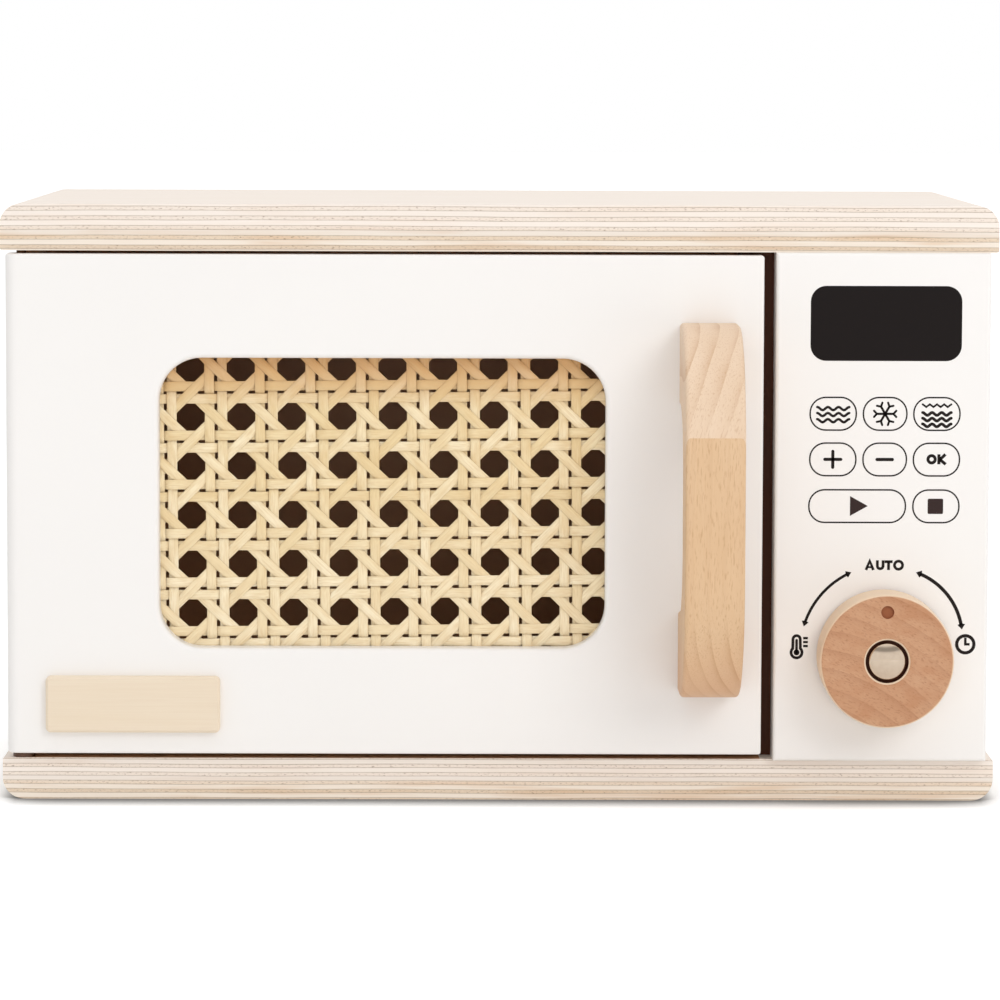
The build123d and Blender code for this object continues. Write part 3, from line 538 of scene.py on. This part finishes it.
FINGER_ROOT, FINGER_LENGTH, FINGER_PITCH = 115.3, 8.0, 4.0  # mm: height of the joint, and its fingers
handle_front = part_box("door_handle")[0].y / MM
material, tree, shader = new_material("beech_of_two_staves", 0.5)
place, at = place_in_mm(tree)
top = add(tree, "ShaderNodeMapRange", {"Value": at["Z"], "From Min": 117, "From Max": 134, "To Min": 0.15,
                                       "To Max": 0.75})
upper, upper_fibres = beech_figure(tree, place, ("#EDD5BC", "#E3C6A8", "#C2946A"), (0.28, 0, 1),
                                   across_rings(tree, place, (1, 0, -0.36), (-2.6, 0, 0)), 5.2, top, 0.3)
foot = add(tree, "ShaderNodeMapRange", {"Value": at["Z"], "From Min": 60, "From Max": 42, "To Min": 0.12,
                                        "To Max": 0.85})
lower, lower_fibres = beech_figure(tree, place, ("#E3C39F", "#DAB48A", "#B47F54"), (0, 0, 1),
                                   across_rings(tree, place, (1, -0.35, 0)), 4.3, foot)
blush = add(tree, "ShaderNodeMapRange", {"Value": at["Z"], "From Min": 56, "From Max": 38, "To Max": 0.5})
lower = add(tree, "ShaderNodeMix", {"Factor": blush, "A": lower, "B": srgb("#D7A67F")}, data_type="RGBA")
from_front = add(tree, "ShaderNodeMath", {0: at["Y"], 1: handle_front}, operation="SUBTRACT")
finger = add(tree, "ShaderNodeMath", {0: from_front, 1: FINGER_PITCH / 2}, operation="PINGPONG")
finger = add(tree, "ShaderNodeMath", {0: finger, 1: 2 * FINGER_LENGTH / FINGER_PITCH}, operation="MULTIPLY")
joint = add(tree, "ShaderNodeMath", {0: at["Z"], 1: finger}, operation="ADD")
is_upper = add(tree, "ShaderNodeMath", {0: joint, 1: FINGER_ROOT}, operation="GREATER_THAN")
colour = add(tree, "ShaderNodeMix", {"Factor": is_upper, "A": lower, "B": upper}, data_type="RGBA")
fibres = add(tree, "ShaderNodeMix", {"Factor": is_upper, "A": lower_fibres, "B": upper_fibres})
finish(tree, shader, colour, fibres, 0.25, 0.05)
dress("door_handle", material)

knob_low, knob_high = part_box("control_knob")
knob_middle = (knob_low + knob_high) / 2 / MM
PITH = (-32.0, -60.0)  # mm from the dial's axis to the middle of the rings
WELL_RADIUS, DIMPLE_OFFSET, DIMPLE_RADIUS = 6.45, 14.8, 1.95  # mm
material, tree, shader = new_material("beech_dial", 0.55, 0.3)
place, at = place_in_mm(tree)


def radius_from(at_x, at_z):
    """Distance in mm from a line that runs through the dial from front to back."""
    flat = add(tree, "ShaderNodeCombineXYZ", {0: at["X"], 2: at["Z"]})
    return add(tree, "ShaderNodeVectorMath", {0: flat, 1: (at_x, 0, at_z)}, operation="DISTANCE")


face, fibres = beech_figure(tree, place, ("#D3A988", "#C18E6A", "#955B37"), (1, 0.4, -0.45),
                            radius_from(knob_middle.x + PITH[0], knob_middle.z + PITH[1]), 5.2, 0.34)
blotch = add(tree, "ShaderNodeMapRange", {"Value": patches(tree, place, (9, 9, 5), 4.0), "From Min": 0.45,
                                          "From Max": 0.7, "To Max": 0.4})
# the rim and sides are paler: partly side grain, partly a painted highlight on the rounded edge
rim = add(tree, "ShaderNodeMath", {0: way_it_faces(tree)["Y"]}, operation="ABSOLUTE")
rim = add(tree, "ShaderNodeMapRange", {"Value": rim, "From Min": 0.93, "From Max": 0.7})
# the well round the bolt is dark brown: painted shade in the recess
well = add(tree, "ShaderNodeMath", {0: radius_from(knob_middle.x, knob_middle.z), 1: WELL_RADIUS},
           operation="LESS_THAN")
dimple = add(tree, "ShaderNodeMath", {0: radius_from(knob_middle.x, knob_middle.z + DIMPLE_OFFSET),
                                      1: DIMPLE_RADIUS}, operation="LESS_THAN")
for mask, tone in ((blotch, "#B3774F"), (rim, "#EDD5B9"), (well, "#552813"), (dimple, "#985A38")):
    face = add(tree, "ShaderNodeMix", {"Factor": mask, "A": face, "B": srgb(tone)}, data_type="RGBA")
finish(tree, shader, face, fibres, 0.25, 0.05)
dress("control_knob", material)

material, tree, shader = new_material("beech_dowel", 0.5)
place = place_in_mm(tree)[0]
colour, fibres = beech_figure(tree, place, ("#E8C79C", "#DDB585", "#B98A58"), (0, 0, 1),
                              across_rings(tree, place, (1, 0.4, 0)), 3.0, 0.6)
finish(tree, shader, colour, fibres, 0.25, 0.05)
for name in ("wall_dowels", "panel_dowels"):
    dress(name, material)

# ================================================================ bare plate
# A thin sliver of pale lime wood with chamfered edges, glued to the door's lower corner. It is
# sanded and left bare: fine straight grain along it and hardly any figure.
material, tree, shader = new_material("bare_limewood", 0.62)
place = place_in_mm(tree)[0]
grain = patches(tree, place, (22, 0.8, 0.45), 5.0)
tone = srgb("#F3E5D2")
for mask, own_tone in ((patches(tree, place, (60, 20, 6), 2.0), "#EBDABF"), (grain, "#E8D5BC")):
    tone = add(tree, "ShaderNodeMix", {"Factor": mask, "A": tone, "B": srgb(own_tone)}, data_type="RGBA")
finish(tree, shader, tone, grain, 0.3, 0.05)
dress("name_plate", material)

# ================================================================ printed front
# Black-brown screen print on the panel: the dark display, eight keys with their signs, and the
# dial's scale. The ink lies on the paint as a skin a few hundredths of a millimetre thick.
INK_THICKNESS, LINE = 0.04, 0.45  # mm; LINE is the keys' outlines
panel_face_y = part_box("control_panel")[0].y / MM


def arc(center, radius, start, end, count=16):
    """Points of an arc; angles in degrees, from the right and up."""
    return [(center[0] + radius * cos(radians(start + (end - start) * i / count)),
             center[1] + radius * sin(radians(start + (end - start) * i / count)))
            for i in range(count + 1)]


def rounded_box(center, width, height, radius, count=10):
    """Closed outline of a rectangle with round corners."""
    points = []
    for side_x, side_z, start in ((1, 1, 0), (-1, 1, 90), (-1, -1, 180), (1, -1, 270)):
        corner = (center[0] + side_x * (width / 2 - radius), center[1] + side_z * (height / 2 - radius))
        points += arc(corner, radius, start, start + 90, count)
    return points


def stroke(points, width, closed=False, round_ends=True):
    """Polygons of a pen line of this width along points; the corners are mitred."""
    places = [Vector(point) for point in points]
    count = len(places)
    sides = []
    for i, place in enumerate(places):
        before = places[i - 1] if i or closed else place
        after = places[(i + 1) % count] if i < count - 1 or closed else place
        first = (place - before).normalized() if place != before else (after - place).normalized()
        second = (after - place).normalized() if after != place else first
        middle = (first + second).normalized()
        across = Vector((-middle.y, middle.x))
        reach = width / 2 / max(0.5, first.dot(middle))
        sides.append((place + across * reach, place - across * reach))
    polygons = [[a[0], a[1], b[1], b[0]] for a, b in zip(sides, sides[1:])]
    if closed:
        polygons.append([sides[-1][0], sides[-1][1], sides[0][1], sides[0][0]])
    elif round_ends:
        for end, inner in ((places[0], places[1]), (places[-1], places[-2])):
            out = end - inner
            angle = degrees(atan2(out.y, out.x))
            polygons.append(arc(end, width / 2, angle - 90, angle + 90, 8))
    return polygons


def print_ink(name, polygons, material):
    """Turns polygons on the panel's face into one thin skin of ink that rides on the housing."""
    mesh = bmesh.new()
    for polygon in polygons:
        front = mesh.faces.new([mesh.verts.new((x * MM, (panel_face_y - INK_THICKNESS) * MM, z * MM))
                                for x, z in polygon])
        made = bmesh.ops.extrude_face_region(mesh, geom=[front])
        back = [v for v in made["geom"] if isinstance(v, bmesh.types.BMVert)]
        bmesh.ops.translate(mesh, verts=back, vec=(0, INK_THICKNESS * MM, 0))
    make_piece(mesh, name, material, "housing")


def ink(name, light, dark, roughness):
    """Screen-print ink: dense, with the faint mottle of the mesh it was pressed through."""
    material, tree, shader = new_material(name, roughness, 0.18)
    mottle = add(tree, "ShaderNodeTexNoise", {"Vector": place_in_mm(tree)[0], "Scale": 2.2, "Detail": 3.0})
    tone = add(tree, "ShaderNodeMix", {"Factor": mottle, "A": srgb(light), "B": srgb(dark)},
               data_type="RGBA")
    finish(tree, shader, tone, mottle, 0.1, 0.02)
    return material


black_ink = ink("black_ink", "#1A1413", "#221A18", 0.6)
brown_ink = ink("brown_black_ink", "#30221F", "#382927", 0.45)

DISPLAY = ((116.0, 144.95), 45.4, 22.5, 4.7)  # mm: middle, width, height and corner radius
print_ink("display_print", [rounded_box(*DISPLAY)], ink("display_ink", "#100908", "#150D0C", 0.5))

KEY_COLUMNS, KEY_ROWS = (100.3, 115.9, 131.45), (117.8, 104.05, 89.95)
KEY_WIDTHS, KEY_HEIGHT, KEY_RADIUS = (14.3, 13.5, 14.3), 10.3, 4.7
START_KEY = ((107.75, KEY_ROWS[2]), 29.5)  # middle and width; it is as wide as two keys
keys = [((x, z), width) for z in KEY_ROWS[:2] for x, width in zip(KEY_COLUMNS, KEY_WIDTHS)]
keys += [START_KEY, ((KEY_COLUMNS[2], KEY_ROWS[2]), KEY_WIDTHS[2])]
key_lines = []
for center, width in keys:
    key_lines += stroke(rounded_box(center, width - LINE, KEY_HEIGHT - LINE, KEY_RADIUS), LINE, closed=True)
print_ink("key_outlines", key_lines, black_ink)


def wave(center, width, swing, line, periods=3, steps=10):
    """A wavy pen line that starts and ends on a crest."""
    count = periods * steps
    return stroke([(center[0] - width / 2 + width * i / count,
                    center[1] + swing * cos(2 * pi * i / steps)) for i in range(count + 1)], line)


# upper keys: three waves, a snow crystal, and waves under a grill's zigzag
signs = []
for offset in (-2.1, -0.25, 1.55):
    signs += wave((KEY_COLUMNS[0], KEY_ROWS[0] + offset), 9.6, 0.46, 0.76)
frost = Vector((KEY_COLUMNS[1], KEY_ROWS[0]))
for arm in range(6):
    angle = radians(60 * arm)
    fork = frost + Vector((cos(angle), sin(angle))) * 2.5
    signs += stroke([frost, fork], 0.7)
    for lean in (radians(-48), radians(48)):
        signs += stroke([fork, fork + Vector((cos(angle + lean), sin(angle + lean))) * 1.25], 0.64)
GRILL_WIDTH, GRILL_BENDS = 8.6, 8
grill_x, grill_z = KEY_COLUMNS[2], KEY_ROWS[0]
signs += stroke([(grill_x - GRILL_WIDTH / 2 + GRILL_WIDTH * i / GRILL_BENDS,
                  grill_z + (2.1 if i % 2 else 2.9)) for i in range(GRILL_BENDS + 1)], 0.58)
for offset in (0.02, -1.68, -3.42):
    signs += wave((grill_x, grill_z + offset), GRILL_WIDTH, 0.42, 0.88)

# middle keys: plus, minus and OK
plus, minus = [Vector((x, KEY_ROWS[1])) for x in KEY_COLUMNS[:2]]
for middle, reach, line in ((plus, Vector((2.4, 0)), 0.95), (plus, Vector((0, 2.4)), 0.95),
                            (minus, Vector((2.3, 0)), 0.98)):
    signs += stroke([middle - reach, middle + reach], line)
LETTER_LINE, OK_HEIGHT = 0.92, 3.0
ok_left, ok_base = KEY_COLUMNS[2] - 3.0, KEY_ROWS[1] - OK_HEIGHT / 2 + 0.1
o_radius = (OK_HEIGHT - LETTER_LINE) / 2 + 0.05
signs += stroke(arc((ok_left + 1.55, ok_base + OK_HEIGHT / 2), o_radius, 0, 345, 23), LETTER_LINE,
                closed=True)
stem_x, ok_top = ok_left + 3.75, ok_base + OK_HEIGHT
knee = (stem_x + 0.3, ok_base + OK_HEIGHT * 0.47)
for ends in ([(stem_x, ok_base), (stem_x, ok_top)], [knee, (stem_x + 1.95, ok_top)],
             [knee, (stem_x + 2.05, ok_base)]):
    signs += stroke(ends, LETTER_LINE, round_ends=False)
print_ink("key_signs", signs, black_ink)

# lower keys: a solid triangle for start and a solid square for stop
start_sign = [(105.6, 93.0), (105.6, 87.0), (110.95, 90.0)]
stop_sign = rounded_box((KEY_COLUMNS[2] - 0.15, KEY_ROWS[2]), 4.65, 4.6, 0.4, 4)
print_ink("start_and_stop_signs", [start_sign, stop_sign], brown_ink)

# AUTO over the dial, as pen lines
AUTO_BASE, AUTO_TOP, PEN = 70.65, 73.6, 0.84
A_LEFT, U_LEFT, T_LEFT, O_LEFT = 110.3, 113.6, 116.2, 118.85
U_RADIUS, O_RADIUS = 0.86, 1.22
u_low = (U_LEFT + PEN / 2 + U_RADIUS, AUTO_BASE + PEN / 2 + U_RADIUS - 0.03)
t_bar = AUTO_TOP - PEN / 2
dial_marks = []
for points, line in (
        ([(A_LEFT + 0.3, AUTO_BASE), (A_LEFT + 1.41, AUTO_TOP - 0.2), (A_LEFT + 2.52, AUTO_BASE)], PEN),
        ([(A_LEFT + 0.7, AUTO_BASE + 0.85), (A_LEFT + 2.1, AUTO_BASE + 0.85)], 0.55),
        ([(u_low[0] - U_RADIUS, AUTO_TOP)] + arc(u_low, U_RADIUS, 180, 360)
         + [(u_low[0] + U_RADIUS, AUTO_TOP)], PEN),
        ([(T_LEFT, t_bar), (T_LEFT + 2.4, t_bar)], PEN),
        ([(T_LEFT + 1.2, AUTO_BASE), (T_LEFT + 1.2, t_bar)], PEN)):
    dial_marks += stroke(points, line, round_ends=False)
dial_marks += stroke(arc((O_LEFT + 1.55, (AUTO_BASE + AUTO_TOP) / 2), O_RADIUS, 0, 345, 23), PEN,
                     closed=True)


def circle_through(a, b, c):
    """Centre and radius of the circle through three points."""
    ax, az, bx, bz, cx, cz = *a, *b, *c
    d = 2 * (ax * (bz - cz) + bx * (cz - az) + cx * (az - bz))
    sa, sb, sc = ax * ax + az * az, bx * bx + bz * bz, cx * cx + cz * cz
    center = Vector(((sa * (bz - cz) + sb * (cz - az) + sc * (az - bz)) / d,
                     (sa * (cx - bx) + sb * (ax - cx) + sc * (bx - ax)) / d))
    return center, (Vector(a) - center).length


ARROW_HEAD = 1.9  # mm


def sweep_arrow(top, middle, bottom, line):
    """Bent arrow through three points, with a head at both ends."""
    center, radius = circle_through(top, middle, bottom)
    start, end = [atan2(z - center.y, x - center.x) for x, z in (top, bottom)]
    way = 1 if end > start else -1
    bite = way * ARROW_HEAD * 0.7 / radius
    shapes = stroke(arc(center, radius, degrees(start + bite), degrees(end - bite), 20), line,
                    round_ends=False)
    for angle, turn in ((start, -way), (end, way)):
        out = Vector((cos(angle), sin(angle)))
        ahead, tip = Vector((-out.y, out.x)) * turn, center + radius * out
        side = Vector((-ahead.y, ahead.x)) * (0.35 * ARROW_HEAD + 0.45 * line)
        barbs = tip - ahead * ARROW_HEAD * 0.8
        shapes.append([tip, barbs + side, tip - ahead * ARROW_HEAD * 0.98, barbs - side])
    return shapes


dial_marks += sweep_arrow((106.2, 69.95), (98.9, 65.0), (92.0, 53.5), 0.85)
dial_marks += sweep_arrow((125.7, 69.95), (134.2, 64.4), (139.7, 52.7), 1.05)

# a clock at the right, and at the left a thermometer with three ticks
clock = Vector((140.8, 48.2))
dial_marks += stroke(arc(clock, 2.6, 0, 350, 35), 0.98, closed=True)
dial_marks += stroke([clock + Vector((0, 2.0)), clock, clock + Vector((1.3, 0))], 0.75, round_ends=False)
bulb, tube_top, tube_half = Vector((89.9, 45.6)), 49.6, 1.1
lean = 44  # degrees from straight up to where the tube meets the bulb
dial_marks += stroke([(bulb.x - tube_half, tube_top)] + arc(bulb, 1.65, 90 + lean, 450 - lean, 24)
                     + [(bulb.x + tube_half, tube_top)]
                     + arc((bulb.x, tube_top), tube_half, 0, 180, 10)[1:-1], 0.86, closed=True)
dial_marks += [arc(bulb, 0.9, 0, 340, 17)]
dial_marks += stroke([(bulb.x, bulb.y), (bulb.x, 49.3)], 0.8)
for tick_z in (47.55, 48.75, 49.95):
    dial_marks += stroke([(91.85, tick_z), (93.3, tick_z)], 0.72, round_ends=False)
print_ink("dial_marks", dial_marks, black_ink)

# ================================================================ metal and nylon
# The dial turns on a domed bolt, nickel plated and brushed in turning. Magnet and strike are nickel
# plated too. Screws, washer and nut are zinc-plated steel, greyer and less even, and the hinge
# pins are browned. The spacers are moulded nylon, milky, and brown at the hinge, where the dark
# washer also stands in for the shade of the gap it sits in: painted shade.


def plated(name, light, dark, roughness, mottle_size):
    """Plated steel: a metal whose tone and roughness vary in small patches of mottle_size mm."""
    material, tree, shader = new_material(name, roughness)
    shader.inputs["Metallic"].default_value = 1.0
    mottle = patches(tree, place_in_mm(tree)[0], (mottle_size, mottle_size, mottle_size), 4.0)
    tone = add(tree, "ShaderNodeMix", {"Factor": mottle, "A": srgb(light), "B": srgb(dark)},
               data_type="RGBA")
    rough = add(tree, "ShaderNodeMapRange", {"Value": mottle, "From Min": 0.3, "From Max": 0.7,
                                             "To Min": roughness * 0.8, "To Max": roughness * 1.2})
    give(tree, shader.inputs["Roughness"], rough)
    finish(tree, shader, tone, mottle, 0.08, 0.03)
    return material


nickel = plated("nickel_plate", "#DDCBB7", "#CCB8A2", 0.14, 1.5)
zinc = plated("zinc_plate", "#C4C5C6", "#A9AAAC", 0.34, 0.8)
browned = plated("browned_steel", "#5A3C27", "#46301F", 0.5, 0.8)
for name, metal in (("door_magnet", nickel), ("strike_disc", nickel), ("knob_washer", zinc),
                    ("knob_nut", zinc), ("turntable_screw", zinc), ("hinge_pin_top", browned),
                    ("hinge_pin_bottom", browned)):
    dress(name, metal)


def nylon(name, light, dark):
    """Moulded nylon, with the faint clouds that its flow in the mould leaves."""
    material, tree, shader = new_material(name, 0.4)
    flow = add(tree, "ShaderNodeTexNoise", {"Vector": place_in_mm(tree)[0], "Scale": 0.6, "Detail": 2.0})
    tone = add(tree, "ShaderNodeMix", {"Factor": flow, "A": srgb(light), "B": srgb(dark)}, data_type="RGBA")
    give(tree, shader.inputs["Base Color"], tone)
    return material


milky_nylon = nylon("milky_nylon", "#F0EEE8", "#E6E3DA")
for name in ("knob_spacer", "turntable_washer"):
    dress(name, milky_nylon)
# the hinge washer is dark brown, partly its nylon and partly painted shade for the gap round it
dress("hinge_washer", nylon("brown_nylon_gap_shade", "#5C3A22", "#50311C"))


def add_turned(mesh, place, axis, outline, count):
    """Adds a body turned about axis to a bmesh. outline gives, for an angle, its radii and their
    distances from place along the axis, all in mm, from one end to the other."""
    side = axis.orthogonal().normalized()
    columns = []
    for step in range(count):
        angle = 2 * pi * step / count
        out = side * cos(angle) + axis.cross(side) * sin(angle)
        columns.append([mesh.verts.new((place + axis * depth + out * radius) * MM)
                        for radius, depth in outline(angle)])
    faces = [mesh.faces.new([column[end] for column in columns]) for end in (0, -1)]
    for left, right in zip(columns, columns[1:] + columns[:1]):
        for i in range(len(left) - 1):
            faces.append(mesh.faces.new((left[i], left[i + 1], right[i + 1], right[i])))
    for face in faces:
        face.smooth = True


# The bolt's head is a high polished dome whose rim stands at the mouth of the dial's well.
DOME_RAISED = 1.8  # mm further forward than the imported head
DOME_RADIUS, HEAD_THICKNESS, SHANK_RADIUS = 9.9, 2.9, 3.0
bolt_low, bolt_high = [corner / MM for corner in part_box("knob_bolt")]
bolt_middle, head_radius = (bolt_low + bolt_high) / 2, (bolt_high.x - bolt_low.x) / 2
under_head, bolt_end = HEAD_THICKNESS + DOME_RAISED, bolt_high.y - bolt_low.y + DOME_RAISED


def bolt_outline(angle):
    """The bolt from the top of its dome to the end of its shank, the same all round."""
    dome = [(radius, DOME_RADIUS - (DOME_RADIUS ** 2 - radius ** 2) ** 0.5)
            for radius in [0.05 + (head_radius - 0.15) * step / 24 for step in range(25)]]
    return dome + [(head_radius, dome[-1][1] + 0.12), (head_radius, under_head), (SHANK_RADIUS, under_head),
                   (SHANK_RADIUS, bolt_end - 0.4), (SHANK_RADIUS - 0.4, bolt_end), (0.05, bolt_end)]


mesh = bmesh.new()
add_turned(mesh, Vector((bolt_middle.x, bolt_low.y - DOME_RAISED, bolt_middle.z)), Vector((0, 1, 0)),
           bolt_outline, 96)
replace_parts(make_piece(mesh, "domed_bolt", nickel, "housing", 32), "knob_bolt")

# ================================================================ wood screws
# Countersunk wood screws of zinc-plated steel, with a cross recess pressed into the head and a
# rolled thread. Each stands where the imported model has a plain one.
RECESS_REACH, RECESS_ARM = 0.55, 0.13  # length and half width of the cross's arms, for a head of 1
THREAD_PITCH, THREAD_ROOT = 0.9, 0.78  # for a shank of 1


def screw_boxes(node_name):
    """Opposite corners, in mm, of each screw of a node, in order."""
    mesh = bmesh.new()
    mesh.from_mesh(nodes[node_name].data)
    bmesh.ops.remove_doubles(mesh, verts=mesh.verts, dist=1e-6)
    left, boxes = set(mesh.verts), []
    while left:
        waiting, found = [left.pop()], []
        while waiting:
            vert = waiting.pop()
            found.append(vert.co / MM)
            for edge in vert.link_edges:
                other = edge.other_vert(vert)
                if other in left:
                    left.remove(other)
                    waiting.append(other)
        boxes.append([Vector([pick(point[i] for point in found) for i in range(3)]) for pick in (min, max)])
    mesh.free()
    return sorted(boxes, key=lambda box: [round(value, 2) for value in box[0]])


def screw_outline(length, shank, head):
    """Outline of a screw; the recess and the thread depend on the angle."""
    neck, pitch = head - shank, THREAD_PITCH * shank
    steps = ceil((length - 2 * shank - neck) / (pitch / 3))

    def outline(angle):
        off_arm = min(abs(sin(angle)), abs(cos(angle)))
        points = []
        for share in (0.03, 0.12, 0.22, 0.32, 0.42, 0.5, 0.58, 0.75, 1.0):
            sunk = share < RECESS_REACH and share * off_arm < RECESS_ARM
            points.append((share * head, head * 0.5 * (1 - share / 0.6) if sunk else 0.0))
        for step in range(steps + 1):
            depth = neck + (length - 2 * shank - neck) * step / steps
            turn = (depth / pitch - angle / (2 * pi)) % 1
            crest = max(0.0, 1 - 3 * min(turn, 1 - turn))
            points.append((shank * (THREAD_ROOT + (1 - THREAD_ROOT) * crest), depth))
        return points + [(0.05, length)]

    return outline


for node_name, shank, body, axis in (("wall_screws", 2.0, "housing", (0, 0, 1)),
                                     ("back_screws", 1.5, "housing", (0, -1, 0)),
                                     ("handle_screws", 2.0, "door", (0, -1, 0)),
                                     ("retainer_screws", 1.0, "door", (0, -1, 0))):
    mesh, axis = bmesh.new(), Vector(axis)
    for low, high in screw_boxes(node_name):
        middle, half = (low + high) / 2, (high - low) / 2
        length = 2 * abs(half.dot(axis))
        add_turned(mesh, middle - axis * length / 2, axis, screw_outline(length, shank, half.x), 48)
    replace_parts(make_piece(mesh, "cross_head_" + node_name, zinc, body, 32), node_name)

# ================================================================ turntable
# A disc of thinner birch plywood, five plies, sawn out and sanded. It lies on its nylon washer and
# turns by hand about a round-headed screw.
low, high = [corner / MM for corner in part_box("turntable_plate")]
pitch = (high.z - low.z) / 5
dress("turntable_plate", plywood("birch_plywood_turntable", low.z, high.z, low.z + 1.5 * pitch, pitch))
